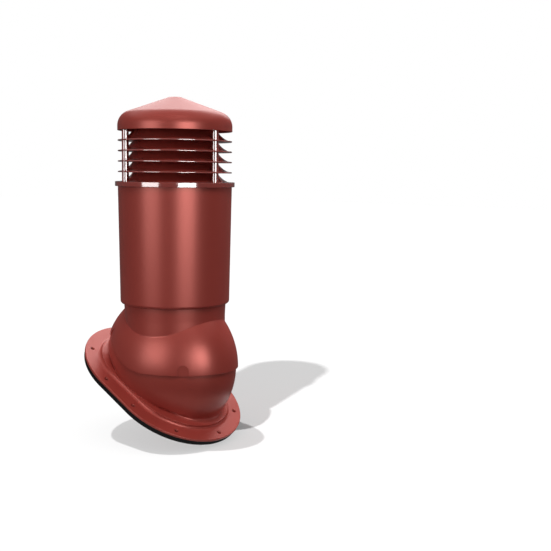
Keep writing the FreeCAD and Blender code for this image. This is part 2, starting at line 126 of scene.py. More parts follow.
def length(label, note, default):
    """A size in metres."""
    return FloatProperty(name=label, description=note, default=default, unit="LENGTH", precision=5)


def tint(label, note, code):
    """A colour, given as sRGB hex."""
    return FloatVectorProperty(name=label, description=note, default=linear(code), subtype="COLOR",
                               min=0.0, max=1.0)


def angle(label, note, degrees):
    """An angle, given in degrees."""
    return FloatProperty(name=label, description=note, default=math.radians(degrees), subtype="ANGLE")


class VentSizes(bpy.types.PropertyGroup):
    """Sizes that the CAD frame's boxes don't give by themselves."""

    edge: length("Edge rounding", "Radius on the moulded edges", 0.0006)
    fit: length("Fit", "Clearance between pieces that go together", 0.0003)
    cap_tip: length("Cap tip", "Radius of the flat on the cap's tip", 0.0117)
    tip_edge: length("Tip rounding", "Radius round the flat on the cap's tip", 0.004)
    cap_shoulder: length("Cap shoulder", "Radius between the cone and the cap's skirt", 0.030)
    cap_slope: angle("Cap slope", "Slope of the cap's cone", 19.65)
    shell: length("Shell wall", "Wall of the cap", 0.003)
    boss_level: length("Boss level", "Height of the bosses' lower end over the cap's foot", 0.004)
    boss_wall: length("Boss wall", "Wall of a boss round its post", 0.0015)
    socket: length("Socket", "Depth to which a post enters its boss", 0.008)
    louvre_wall: length("Louvre wall", "Wall of a louvre ring", 0.0026)
    louvre_lip: length("Louvre lip", "Flat edge of a louvre ring", 0.0082)
    louvre_lip_rise: length("Louvre lip rise", "Rise of the flat edge", 0.001)
    louvre_bend: length("Louvre bend", "Radius of the flare under its skin", 0.042)
    louvre_throat: length("Louvre throat", "Outer radius of the flare's throat", 0.0807)
    collar_band: length("Collar band", "Height of the collar's plain band", 0.0091)
    collar_skirt: length("Collar skirt", "Depth to which the collar plugs the casing", 0.015)
    plug_fit: length("Plug fit", "Clearance between the collar's skirt and the casing", 0.0006)
    duct_radius: length("Duct radius", "Outer radius of the duct", 0.074)
    post_circle: length("Post circle", "Radius on which the posts stand", 0.101)
    post_edge: length("Post edge", "Radius on the ends of a post", 0.0008)
    casing_foot: length("Casing foot radius", "Radius of the casing over its lower edge", 0.1087)
    casing_lip: length("Casing lip", "Radius of the casing's rolled lower edge", 0.0055)
    lip_straight: length("Lip straight", "Straight side over the rolled lower edge", 0.0005)
    casing_wall: length("Casing wall", "Wall of the casing", 0.0025)
    neck_radius: length("Neck radius", "Radius of the hood's neck inside the casing", 0.1015)
    neck_waist: length("Neck waist", "Neck radius above the ball", 0.1004)
    waist_level: length("Neck waist level", "Height of the waist over the tilt axis", 0.1015)
    neck_wall: length("Neck wall", "Wall of the neck", 0.003)
    web: length("Neck web", "Depth of the web between the neck and the duct", 0.008)
    ball_radius: length("Hood radius", "Radius of the hood about the tilt axis", 0.1494)
    ball_half: length("Hood half width", "Half of the hood's width", 0.117)
    hood_wall: length("Hood wall", "Wall of the hood", 0.0034)
    rim_bend: length("Rim bend", "Radius where the hood's rim turns uphill", 0.136)
    rim_rise: angle("Rim rise", "Slope of the hood's rim uphill", 30)
    pad_width: length("Pad width", "Width of a screw pad", 0.022)
    pad_height: length("Pad height", "Height of a screw pad over the rim", 0.021)
    pad_depth: length("Pad depth", "Depth of a screw pad in the ball", 0.0019)
    pad_facing: angle("Pad facing", "Bearing of a screw pad from downhill", 52.5)
    hood_gap: length("Hood gap", "Gap between the hood and the base", 0.0006)
    base_wall: length("Base wall", "Wall of the roof base", 0.003)
    ball_foot: length("Ball foot", "Depth to which the base's ball reaches", 0.024)
    roof_pitch: angle("Roof pitch", "Slope of the flange", 30)
    flange_straight: length("Flange straight", "Half length of the flange's straight sides", 0.0415)
    flange_shift: length("Flange shift", "Shift of the flange downhill", 0.0035)
    flange_radius: length("Flange radius", "Radius of the flange's ends", 0.1415)
    flange_depth: length("Flange depth", "Depth of the flange under the tilt axis", 0.0438)
    flange_plate: length("Flange thickness", "Thickness of the flange", 0.0046)
    flange_edge: length("Flange edge", "Radius on the flange's upper edge", 0.0015)
    plinth_radius: length("Plinth radius", "Radius of the plinth's ends", 0.109)
    plinth_height: length("Plinth height", "Height of the plinth over the flange", 0.008)
    plinth_edge: length("Plinth edge", "Radius on the plinth's upper edge", 0.0006)
    plinth_fillet: length("Plinth fillet", "Radius between the plinth and the flange", 0.006)
    skirt_radius: length("Skirt radius", "Radius of the skirt's ends", 0.1078)
    skirt_edge: length("Skirt edge", "Radius between the skirt and the plinth's top", 0.0003)
    opening_straight: length("Opening straight", "Half length of the duct opening's sides", 0.0275)
    opening_radius: length("Opening radius", "Radius of the duct opening's ends", 0.0775)
    opening_lean: angle("Opening lean", "Lean of the duct opening uphill", 22)
    holes: IntProperty(name="Holes", description="Screw holes round each end of the flange", default=5)
    hole_radius: length("Hole radius", "Radius of a screw hole", 0.0035)
    hole_inset: length("Hole inset", "Distance of the screw holes from the flange's edge", 0.015)
    sink_radius: length("Sink radius", "Radius of a screw hole's sunk seat", 0.0045)
    sink_depth: length("Sink depth", "Depth of a screw hole's sunk seat", 0.0009)
    seal_height: length("Seal height", "Height of the seal", 0.013)
    seal_inset: length("Seal inset", "Distance of the seal from the flange's edge", 0.002)
    seal_width: length("Seal width", "Width of the seal", 0.026)
    seal_bend: length("Seal bend", "Radius on the seal's outer lower edge", 0.006)
    seal_edge: length("Seal edge", "Radius on the seal's other edges", 0.001)


class VentColours(bpy.types.PropertyGroup):
    """Finishes of the vent."""

    red: tint("Moulded red", "Polypropylene of the vent", "#9A3C34")
    black: tint("Cover black", "Polypropylene of the screws' covers", "#26262A")
    rubber: tint("Seal black", "Rubber of the seal", "#0C0C0D")
    foam: tint("Foam grey", "Insulation foam", "#B9B6AE")
    sheen: tint("Sheen", "Highlights of the satin polypropylene", "#FF9E93")


class StageSettings(bpy.types.PropertyGroup):
    """Camera, floor and room."""

    around: angle("Camera bearing", "Bearing of the camera's place round the pipe", -48.53)
    away: length("Camera distance", "Level distance from the pipe's axis", 1.784)
    rise: length("Camera height", "Height of the camera", 0.4366)
    aim: angle("Camera aim", "Bearing against which the camera looks", -55.02)
    dip: angle("Camera dip", "How far the camera looks down", 6.694)
    roll: angle("Camera roll", "Turn of the camera about its line of sight", 0.768)
    lens: FloatProperty(name="Lens", description="Focal length in millimetres", default=57.99)
    paint: tint("Floor paint", "Matt part of the floor's paint", "#DADADA")
    far_paint: tint("Floor from the vent", "The floor's paint as the vent's matt surfaces see it", "#595959")
    white: tint("White", "Glow of the floor and colour of the room", "#FFFFFF")
    cloth: tint("Cloth", "Grey cloth that only reflections see", "#595959")


# Shapes

def arc(start, end, radius, steps=16):
    """Points from start to end on an arc that turns clockwise where radius is negative."""
    (x0, y0), (x1, y1) = start, end
    chord = math.hypot(x1 - x0, y1 - y0)
    rise = math.sqrt(max(radius ** 2 - (chord / 2) ** 2, 0)) * (1 if radius > 0 else -1)
    cx = (x0 + x1) / 2 - (y1 - y0) / chord * rise
    cy = (y0 + y1) / 2 + (x1 - x0) / chord * rise
    a0, a1 = math.atan2(y0 - cy, x0 - cx), math.atan2(y1 - cy, x1 - cx)
    turn = (a1 - a0) % (2 * math.pi)
    if radius < 0:
        turn -= 2 * math.pi
    size = abs(radius)
    return [(cx + size * math.cos(a0 + turn * k / steps), cy + size * math.sin(a0 + turn * k / steps))
            for k in range(steps + 1)]


def rounded(corners, steps=5, facet=0.0015, guard=0.00015):
    """A closed outline whose corners (x, y, radius) are rounded in so many steps, or in more where a
    step would be longer than a facet. A guard point close beside each rounding keeps its shading off
    the flat that it meets."""
    points = []
    for index, (x, y, radius) in enumerate(corners):
        if radius <= 0:
            points.append((x, y))
            continue
        here = Vector((x, y))
        before = Vector(corners[index - 1][:2]) - here
        after = Vector(corners[(index + 1) % len(corners)][:2]) - here
        corner = before.angle(after)
        reach = radius / math.tan(corner / 2)
        first, last = here + before.normalized() * reach, here + after.normalized() * reach
        inward = (before.normalized() + after.normalized()).normalized()
        centre = here + inward * (radius / math.sin(corner / 2))
        a0 = math.atan2(first.y - centre.y, first.x - centre.x)
        a1 = math.atan2(last.y - centre.y, last.x - centre.x)
        turn = (a1 - a0 + math.pi) % (2 * math.pi) - math.pi
        if before.length > reach + 2 * guard:
            points.append(tuple(first + before.normalized() * guard))
        count = max(steps, int(abs(turn) * radius / facet))
        points += [(centre.x + radius * math.cos(a0 + turn * k / count),
                    centre.y + radius * math.sin(a0 + turn * k / count)) for k in range(count + 1)]
        if after.length > reach + 2 * guard:
            points.append(tuple(last + after.normalized() * guard))
    return points


def smooth_mesh(name, points, faces, sharp=TURNED_CREASE):
    """A mesh with merged doubles, outward faces, and smooth shading up to an edge angle."""
    mesh = bpy.data.meshes.new(name)
    mesh.from_pydata([tuple(p) for p in points], [], faces)
    work = bmesh.new()
    work.from_mesh(mesh)
    bmesh.ops.remove_doubles(work, verts=work.verts, dist=SAME_PLACE)
    bmesh.ops.recalc_face_normals(work, faces=work.faces)
    work.to_mesh(mesh)
    work.free()
    mesh.shade_smooth()
    mesh.set_sharp_from_angle(angle=sharp)
    return mesh


def skin(name, rings, closed=True, sharp=TURNED_CREASE):
    """A skin over rings of equally many points, joined ring to ring and back to the first."""
    count, across = len(rings), len(rings[0])
    points = [p for ring in rings for p in ring]
    faces = []
    for i in range(count if closed else count - 1):
        j = (i + 1) % count
        for k in range(across):
            n = (k + 1) % across
            faces.append((i * across + k, i * across + n, j * across + n, j * across + k))
    return smooth_mesh(name, points, faces, sharp)


def lathe(name, outline, y=PIPE_Y, z=0.0, sides=PIPE_SIDES):
    """An outline of (radius, height) turned about the vertical through (0, y)."""
    angles = [2 * math.pi * k / sides for k in range(sides)]
    return skin(name, [[(r * math.cos(a), y + r * math.sin(a), z + h) for a in angles] for r, h in outline])


def prism(name, outline, foot, top):
    """A solid that carries an outline in X and Y from one level to another."""
    count = len(outline)
    points = [(x, y, z) for z in (foot, top) for x, y in outline]
    sides = [(k, (k + 1) % count, (k + 1) % count + count, k + count) for k in range(count)]
    return smooth_mesh(name, points, sides + [tuple(range(count)), tuple(range(count, 2 * count))])


def show(name, mesh):
    """An object of its own for a mesh."""
    piece = bpy.data.objects.new(name, mesh)
    bpy.context.scene.collection.objects.link(piece)
    return piece


def bake(piece):
    """Turns what the modifiers show into the piece's own mesh."""
    bpy.context.view_layer.update()
    mesh = bpy.data.meshes.new_from_object(piece.evaluated_get(bpy.context.evaluated_depsgraph_get()))
    piece.modifiers.clear()
    old, piece.data = piece.data, mesh
    mesh.name = piece.name
    if old.users == 0:
        bpy.data.meshes.remove(old)
    return piece


def joined(name, meshes):
    """One mesh of several."""
    work = bmesh.new()
    for mesh in meshes:
        work.from_mesh(mesh)
        bpy.data.meshes.remove(mesh)
    mesh = bpy.data.meshes.new(name)
    work.to_mesh(mesh)
    work.free()
    return mesh


def cut(piece, cutters, sharp=TURNED_CREASE):
    """Cuts the cutters' shared mesh out of a piece."""
    tool = show(piece.name + "_cutter", cutters)
    difference = piece.modifiers.new("bores", "BOOLEAN")
    difference.operation, difference.solver, difference.object = "DIFFERENCE", "EXACT", tool
    bake(piece)
    bpy.data.objects.remove(tool)
    bpy.data.meshes.remove(cutters)
    piece.data.shade_smooth()
    piece.data.set_sharp_from_angle(angle=sharp)
    return piece


def finish(piece, body, nodes, material):
    """Gives a piece its finish, and has it ride on its body for the CAD nodes it stands for."""
    if material:
        piece.data.materials.clear()
        piece.data.materials.append(material)
    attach(piece, body)
    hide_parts(*nodes)
    return piece


def at_posts(name, outline, z, circle):
    """The same turned form at the place of each post, the first one downhill."""
    forms = []
    for n in range(len(POSTS)):
        a = 2 * math.pi * n / len(POSTS) - math.pi / 2
        form = lathe(name, outline, 0, z, BORE_SIDES)
        form.transform(Matrix.Translation((circle * math.cos(a), PIPE_Y + circle * math.sin(a), 0)))
        forms.append(form)
    return forms


# Materials

# Clouds of about 110 mm in the colour, and a pebble of about 1 mm, drawn coarser than the real one.
CLOUDS = {"Scale": 9.0, "Detail": 3.0, "Roughness": 0.5}
PEBBLES = {"Scale": 900.0, "Detail": 2.0, "Roughness": 0.6}
# How far the pebble moves the roughness, and how strongly it shows as bump.
ROUGHNESS_SWING, PEBBLE_STRENGTH = 0.03, 0.5
POLYPROPYLENE_IOR = 1.49


def add_node(tree, kind, settings=None, links=None):
    """Adds a node, sets its properties and inputs, and links inputs to other nodes' outputs."""
    node = tree.nodes.new(kind)
    for name, value in (settings or {}).items():
        if isinstance(name, int) or name in node.inputs:
            node.inputs[name].default_value = value
        else:
            setattr(node, name, value)
    for name, (source, output) in (links or {}).items():
        tree.links.new(source.outputs[output], node.inputs[name])
    return node


def bare_material(name):
    """A material with no nodes yet."""
    material = bpy.data.materials.new(name)
    material.use_nodes = True
    material.node_tree.nodes.clear()
    return material


def opaque(colour):
    """A colour with full alpha."""
    return [*colour, 1.0]


def moulded(name, colour, roughness, grain, spread=0.04, shine=0.5, coat=0.0, sheen=(1, 1, 1)):
    """A moulded material: an even colour with faint clouding from the melt's flow, and the fine
    pebble of the mould's surface, of which grain is the height in metres."""
    material = bare_material(name)
    tree = material.node_tree
    place = add_node(tree, "ShaderNodeTexCoord")
    cloud = add_node(tree, "ShaderNodeTexNoise", CLOUDS, {"Vector": (place, "Object")})
    dark = opaque(c * (1 - spread) for c in colour)
    light = opaque(min(c * (1 + spread), 1.0) for c in colour)
    shade = add_node(tree, "ShaderNodeMix", {"data_type": "RGBA", 6: dark, 7: light}, {0: (cloud, "Fac")})
    pebble = add_node(tree, "ShaderNodeTexNoise", PEBBLES, {"Vector": (place, "Object")})
    rough = add_node(tree, "ShaderNodeMapRange",
                     {"To Min": roughness - ROUGHNESS_SWING, "To Max": roughness + ROUGHNESS_SWING},
                     {"Value": (pebble, "Fac")})
    bump = add_node(tree, "ShaderNodeBump", {"Strength": PEBBLE_STRENGTH, "Distance": grain},
                    {"Height": (pebble, "Fac")})
    shader = add_node(tree, "ShaderNodeBsdfPrincipled",
                      {"IOR": POLYPROPYLENE_IOR, "Specular IOR Level": shine, "Specular Tint": opaque(sheen),
                       "Coat Weight": coat, "Coat Roughness": roughness},
                      {"Base Color": (shade, 2), "Roughness": (rough, 0), "Normal": (bump, 0)})
    add_node(tree, "ShaderNodeOutputMaterial", links={"Surface": (shader, 0)})
    return material


def materials():
    """The vent's materials, made when the first piece asks for them."""
    colours = bpy.context.scene.vent_colours
    if "satin_polypropylene" not in bpy.data.materials:
        # Polypropylene off an etched mould: a soft sheen that takes on the pigment's red.
        moulded("satin_polypropylene", colours.red, roughness=0.36, grain=0.00004, shine=0.9,
                sheen=colours.sheen)
        # Polypropylene off a polished mould: near mirror edges on the collar, the rings and the posts.
        moulded("polished_polypropylene", colours.red, roughness=0.11, grain=0.00001, shine=1.0, coat=1.0)
        # Dark polypropylene of the screws' covers.
        moulded("black_polypropylene", colours.black, roughness=0.42, grain=0.00004)
        # Expanded foam: dull, with beads of a few millimetres.
        moulded("closed_cell_foam", colours.foam, roughness=0.85, grain=0.0004, spread=0.1)
        # Moulded EPDM rubber: dark and matt, with a bloom of slightly paler dust.
        moulded("moulded_epdm", colours.rubber, roughness=0.72, grain=0.0001, spread=0.25, shine=0.1)
    return bpy.data.materials


# Pieces

class VENT_OT_rain_cap(bpy.types.Operator):
    """Builds the conical rain cap"""

    bl_idname = "vent.rain_cap"
    bl_label = "Rain Cap"

    def execute(self, context):
        s = context.scene.vent_sizes
        radius, foot = wide("rain_cap"), low("rain_cap").z
        height = high("rain_cap").z - foot
        corner = height - (radius - s.cap_tip) * math.tan(s.cap_slope)
        wall, slant = s.shell, s.shell / math.cos(s.cap_slope)
        inner_corner = corner - slant + wall * math.tan(s.cap_slope)
        outline = rounded([
            (0, height, 0), (s.cap_tip, height, s.tip_edge), (radius, corner, s.cap_shoulder),
            (radius, 0, s.edge), (radius - wall, 0, s.edge),
            (radius - wall, inner_corner, s.cap_shoulder - wall), (s.cap_tip, height - slant, 0),
            (0, height - slant, 0)])
        shell = lathe("rain_cap_moulding", outline, z=foot)
        post = wide(POSTS[0]) + s.fit / 3
        over = s.boss_level + s.socket
        boss_outline = rounded([(0, over, 0), (post, over, 0), (post, s.boss_level, s.edge / 2),
                                (post + s.boss_wall, s.boss_level, s.edge / 2),
                                (post + s.boss_wall, height, 0), (0, height, 0)])
        bosses = at_posts("boss", boss_outline, foot, s.post_circle)
        # The bosses' tops end in the middle of the wall, on the shoulder's round.
        shoulder_foot = corner - s.cap_shoulder * math.tan((math.pi / 2 - s.cap_slope) / 2)
        for boss in bosses:
            for point in boss.vertices:
                if point.co.z > foot + over + wall:
                    out = math.hypot(point.co.x, point.co.y - PIPE_Y) - radius + s.cap_shoulder
                    rise = math.sqrt((s.cap_shoulder - wall / 2) ** 2 - out ** 2)
                    point.co.z = foot + shoulder_foot + rise
        piece = show("rain_cap_moulding", joined("rain_cap_moulding", [shell] + bosses))
        finish(piece, "stack", ["rain_cap"], materials()["satin_polypropylene"])
        return {"FINISHED"}


def flare(s):
    """The louvre's skin from its lip to its throat and back on the underside."""
    lip_root = wide(LOUVRES[0]) - s.louvre_lip
    top = high(LOUVRES[0]).z - low(LOUVRES[0]).z
    outer = arc((lip_root, s.louvre_wall + s.louvre_lip_rise), (s.louvre_throat, top), -s.louvre_bend,
                FLARE_STEPS)
    inner = arc((s.louvre_throat - s.louvre_wall, top), (lip_root, s.louvre_lip_rise),
                s.louvre_bend + s.louvre_wall, FLARE_STEPS)
    return outer, inner


def quarter():
    """Angles of a small edge's rounding, from its start to its end."""
    return [math.pi / 2 * k / EDGE_STEPS for k in range(EDGE_STEPS + 1)]


def lip_end(radius, wall, edge):
    """The rounded outer edge of a louvre ring's lip, from below to above."""
    under = [(radius - edge + edge * math.sin(a), edge - edge * math.cos(a)) for a in quarter()]
    return under + [(r, wall - h) for r, h in reversed(under)]


def stack_tree(name, make_points):
    """A node group that repeats the incoming geometry on points, as one real mesh."""
    tree = bpy.data.node_groups.new(name, "GeometryNodeTree")
    sockets = tree.interface
    sockets.new_socket("Geometry", in_out="INPUT", socket_type="NodeSocketGeometry")
    sockets.new_socket("Geometry", in_out="OUTPUT", socket_type="NodeSocketGeometry")
    sockets.new_socket("Count", in_out="INPUT", socket_type="NodeSocketInt")
    sockets.new_socket("Spacing", in_out="INPUT", socket_type="NodeSocketFloat")
    sockets.new_socket("Finish", in_out="INPUT", socket_type="NodeSocketMaterial")
    given = add_node(tree, "NodeGroupInput")
    points = make_points(tree, given)
    placed = add_node(tree, "GeometryNodeInstanceOnPoints",
                      links={"Points": (points, 0), "Instance": (given, "Geometry")})
    real = add_node(tree, "GeometryNodeRealizeInstances", links={"Geometry": (placed, 0)})
    coloured = add_node(tree, "GeometryNodeSetMaterial",
                        links={"Geometry": (real, 0), "Material": (given, "Finish")})
    add_node(tree, "NodeGroupOutput", links={"Geometry": (coloured, 0)})
    return tree


def points_up(tree, given):
    """Points one above the other, a spacing apart."""
    step = add_node(tree, "ShaderNodeCombineXYZ", links={"Z": (given, "Spacing")})
    return add_node(tree, "GeometryNodeMeshLine", links={"Count": (given, "Count"), "Offset": (step, 0)})


def points_round(tree, given):
    """Points round the pipe's axis, the first one downhill, with the spacing as their radius."""
    ring = add_node(tree, "GeometryNodeMeshCircle",
                    links={"Vertices": (given, "Count"), "Radius": (given, "Spacing")})
    return add_node(tree, "GeometryNodeTransform",
                    {"Translation": (0, PIPE_Y, 0), "Rotation": (0, 0, -math.pi / 2)},
                    {"Geometry": (ring, 0)})


def repeat(piece, tree, **values):
    """Runs a node group on a piece and keeps the result as its mesh."""
    modifier = piece.modifiers.new("repeat", "NODES")
    modifier.node_group = tree
    ids = {item.name: item.identifier for item in tree.interface.items_tree if item.in_out == "INPUT"}
    for label, value in values.items():
        modifier[ids[label]] = value
    return bake(piece)


class VENT_OT_louvre_cage(bpy.types.Operator):
    """Builds the louvre rings and the posts that carry them"""

    bl_idname = "vent.louvre_cage"
    bl_label = "Louvre Cage"

    def execute(self, context):
        s = context.scene.vent_sizes
        outer, inner = flare(s)
        outline = lip_end(wide(LOUVRES[0]), s.louvre_wall, s.louvre_wall * LIP_ROUNDING) + outer + inner
        levels = sorted(low(node).z for node in LOUVRES)
        rings = show("louvre_rings", lathe("louvre_rings", outline, z=levels[0]))
        post = wide(POSTS[0])
        bore, under, over = post + s.fit / 3, levels[0] - OVERSHOOT, high(LOUVRES[0]).z + OVERSHOOT
        bores = at_posts("bore", [(0, under), (bore, under), (bore, over), (0, over)], 0, s.post_circle)
        cut(rings, joined("bores", bores))
        repeat(rings, stack_tree("louvre_stack", points_up), Count=len(LOUVRES),
               Spacing=levels[1] - levels[0], Finish=materials()["polished_polypropylene"])
        finish(rings, "stack", LOUVRES, None)

        foot, top = low(POSTS[0]).z, high(POSTS[0]).z
        outline = rounded([(0, foot, 0), (post, foot, s.post_edge), (post, top, s.post_edge), (0, top, 0)])
        posts = show("cage_posts", lathe("cage_posts", outline, 0, 0, POST_SIDES))
        repeat(posts, stack_tree("posts_round_pipe", points_round), Count=len(POSTS),
               Spacing=s.post_circle, Finish=materials()["polished_polypropylene"])
        finish(posts, "stack", POSTS, None)
        return {"FINISHED"}


class VENT_OT_top_collar(bpy.types.Operator):
    """Builds the collar band with the lowest flare"""

    bl_idname = "vent.top_collar"
    bl_label = "Top Collar"

    def execute(self, context):
        s = context.scene.vent_sizes
        radius, level = wide("top_collar"), high("outer_casing").z
        rim = s.collar_band - s.louvre_wall
        outer, inner = flare(s)
        plug = wide("outer_casing") - s.casing_wall - s.plug_fit
        band_foot = radius - 2 * s.casing_wall
        band = rounded([(band_foot, 0, 0), (radius, 0, s.edge), (radius, s.collar_band, s.edge),
                        (band_foot, s.collar_band, 0)])
        throat = high("top_collar").z - level
        seat = s.duct_radius + s.fit
        under = rim + s.louvre_lip_rise
        outline = (band + [(r, h + rim) for r, h in outer]
                   + [(seat, throat), (seat, throat - s.louvre_wall)]
                   + [(s.louvre_throat - s.louvre_wall, throat - s.louvre_wall)]
                   + [(r, h + rim) for r, h in inner[1:]]
                   + [(plug - s.casing_wall, under), (plug - s.casing_wall, -s.collar_skirt),
                      (plug, -s.collar_skirt), (plug, 0)])
        bore, over = wide(POSTS[0]) + s.fit / 3, throat + OVERSHOOT
        bores = at_posts("bore", [(0, 0), (bore, 0), (bore, over), (0, over)], level, s.post_circle)
        piece = show("collar_moulding", lathe("collar_moulding", outline, z=level))
        cut(piece, joined("bores", bores))
        finish(piece, "stack", ["top_collar"], materials()["polished_polypropylene"])
        return {"FINISHED"}


class VENT_OT_casing(bpy.types.Operator):
    """Builds the casing with its rolled lower edge"""

    bl_idname = "vent.casing"
    bl_label = "Casing"

    def execute(self, context):
        s = context.scene.vent_sizes
        foot, top = low("outer_casing").z, high("outer_casing").z
        tall, radius = top - foot, wide("outer_casing")
        waist, bore = s.casing_foot, s.neck_radius + s.fit
        lip, wall = s.casing_lip, s.casing_wall
        outline = rounded([
            (radius, tall, 0), (radius - wall, tall, 0), (waist - wall, lip, 0),
            (waist - wall, wall, lip - wall), (bore, wall, s.edge), (bore, 0, s.edge),
            (waist, 0, lip), (waist, lip + s.lip_straight, 0)])
        piece = show("casing_pipe", lathe("casing_pipe", outline, z=foot))
        finish(piece, "stack", ["outer_casing"], materials()["satin_polypropylene"])
        return {"FINISHED"}


def oval(s, inset):
    """The hood's oval at an inset: how far the crowns' centres lie out and their radius, then how far
    the cheeks' centres lie back and their radius."""
    crown = s.ball_half ** 2 / s.ball_radius
    cheek = ((s.ball_half ** 2 + s.ball_radius ** 2 - 2 * s.ball_radius * crown)
             / (2 * (s.ball_half - crown)))
    return s.ball_radius - crown, crown - inset, cheek - s.ball_half, cheek - inset


def ball_gap(s, points, inset):
    """Signed distance of points from the ball's skin at an inset, the ball at the origin."""
    rise, crown, back, cheek = oval(s, inset)
    across = np.abs(points[..., 0])
    along = np.hypot(points[..., 1], points[..., 2])
    on_cheek = (across + back) * rise > along * back
    return np.where(on_cheek, np.hypot(across + back, along) - cheek, np.hypot(across, along - rise) - crown)


def reach_ball(s, origin, ways, inset):
    """Where rays from inside the ball meet its skin."""
    near, far = np.zeros(ways.shape[:-1]), np.full(ways.shape[:-1], 2 * s.ball_radius)
    for _ in range(HALVINGS):
        middle = (near + far) / 2
        inside = ball_gap(s, origin + ways * middle[..., None], inset) < 0
        near, far = np.where(inside, middle, near), np.where(inside, far, middle)
    return origin + ways * near[..., None]


def rim_level(s, y):
    """Height of the hood's rim over the tilt axis: level downhill, rising uphill."""
    bend = s.rim_bend * math.tan(s.rim_rise / 2)
    curve = s.rim_bend - np.sqrt(np.maximum(s.rim_bend ** 2 - (y + bend) ** 2, 0))
    uphill = np.where(y > bend * math.cos(s.rim_rise), y * math.tan(s.rim_rise), curve)
    return np.where(y < -bend, 0.0, uphill)


def unit(ways):
    """Ways of length one."""
    return ways / np.linalg.norm(ways, axis=1, keepdims=True)


def hood_skin(s, pole, ways, radius, inset, rows):
    """Rings of the ball's skin from the neck's foot to the rim, in a fan round the neck's axis."""
    def at(rise):
        """The ring that rays at these slopes reach."""
        lean = np.stack([ways[:, 0] * np.cos(rise), ways[:, 1] * np.cos(rise), np.sin(rise)], -1)
        return reach_ball(s, pole, lean, inset)

    def solve(above):
        """The slope of each ray at which a condition turns true."""
        lowest, highest = np.full(len(ways), LOWEST_SLOPE), np.full(len(ways), math.pi / 2)
        for _ in range(HALVINGS):
            middle = (lowest + highest) / 2
            up = above(at(middle))
            lowest, highest = np.where(up, lowest, middle), np.where(up, middle, highest)
        return (lowest + highest) / 2

    rim = solve(lambda p: p[:, 2] > rim_level(s, p[:, 1]))
    crease = solve(lambda p: np.hypot(p[:, 0] - pole[0], p[:, 1] - pole[1]) < radius)
    return [at(crease + (rim - crease) * share) for share in rows]


def screw_pads(s):
    """Cutters for the four flat seats beside the rim: an arch square to the ball at each."""
    half, top = s.pad_width / 2, s.pad_height - s.pad_width / 2
    arch = [(-half, -half), (half, -half)] + arc((half, top), (-half, top), half, ARCH_STEPS)
    back, cheek = oval(s, 0.0)[2:]
    across, along = cheek * math.sin(s.pad_facing) - back, cheek * math.cos(s.pad_facing)
    pads = []
    for side in (-1, 1):
        for end in (-1, 1):
            out = Vector((side * math.sin(s.pad_facing), end * math.cos(s.pad_facing), 0))
            up = Vector((0, 0, 1))
            place = Matrix.Translation((side * across, end * along, 0)) @ Matrix(
                (up.cross(out), up, out)).transposed().to_4x4()
            lean = Matrix.Rotation(s.rim_rise if end > 0 else 0, 4, "X")
            pad = prism("pad", arch, -s.pad_depth, s.pad_height)
            pad.transform(Matrix.Translation(TILT) @ lean @ place)
            pads.append(pad)
    return joined("pads", pads)


class VENT_OT_tilt_hood(bpy.types.Operator):
    """Builds the ball shaped hood with its neck"""

    bl_idname = "vent.tilt_hood"
    bl_label = "Tilting Hood"

    def execute(self, context):
        s = context.scene.vent_sizes
        centre = np.array(TILT)
        pole = np.array([0, PIPE_Y, centre[2]]) - centre
        turns = np.linspace(0, 2 * math.pi, HOOD_RAYS, endpoint=False)
        ways = np.stack([np.cos(turns), np.sin(turns)], -1)
        top = high("tilt_hood").z - centre[2]
        casing_foot = low("outer_casing").z - centre[2]
        neck, wall, edge = s.neck_radius, s.neck_wall, s.edge

        def level_ring(radius, z):
            """A level ring round the pipe's axis."""
            return np.stack([pole[0] + ways[:, 0] * radius, pole[1] + ways[:, 1] * radius,
                             np.full(len(ways), z)], -1)

        shares = np.linspace(0, 1, HOOD_ROWS)
        outer = hood_skin(s, pole, ways, s.neck_waist, 0.0, shares)
        inner = hood_skin(s, pole, ways, s.neck_waist - wall, s.hood_wall, shares)
        lift = np.zeros_like(outer[0])
        lift[:, 2] = np.maximum(s.waist_level - outer[0][:, 2], 0)
        waist = [outer[0] + lift * share for share in WAIST_SHARES]
        up_out, up_in = unit(outer[-2] - outer[-1]), unit(inner[-2] - inner[-1])
        over = unit(inner[-1] - outer[-1])

        def lip(corner, up, side):
            """The rim's rounding at a corner, from the skin above it to the face under it."""
            return [corner + edge * (up * (1 - math.sin(a)) + side * (1 - math.cos(a))) for a in quarter()]

        rings = [level_ring(neck, top), level_ring(neck, casing_foot)] + waist + outer[:-1]
        rings += lip(outer[-1], up_out, over) + lip(inner[-1], up_in, -over)[::-1]
        rings += inner[:-1][::-1]
        bore = s.neck_waist - wall
        seat, web = s.duct_radius + s.fit, top - s.web
        rings += [level_ring(bore, casing_foot), level_ring(bore, web)]
        rings += [level_ring(seat, web), level_ring(seat, top)]
        mesh = skin("hood_moulding", [ring + centre for ring in rings], sharp=OVAL_CREASE)
        piece = cut(show("hood_moulding", mesh), screw_pads(s), sharp=OVAL_CREASE)
        finish(piece, "stack", ["tilt_hood"], materials()["satin_polypropylene"])
        return {"FINISHED"}


def stadium(radius, z, s):
    """Points round two half rounds joined by straight sides, long along Y, shifted downhill."""
    points = []
    for end in (1, -1):
        for k in range(END_POINTS):
            a = math.pi * k / END_POINTS + (0 if end > 0 else math.pi)
            points.append((radius * math.cos(a), end * s.flange_straight + radius * math.sin(a)))
        for k in range(SIDE_POINTS):
            points.append((-end * radius, end * s.flange_straight * (1 - 2 * k / SIDE_POINTS)))
    return np.array([(x, y - s.flange_shift, z) for x, y in points])


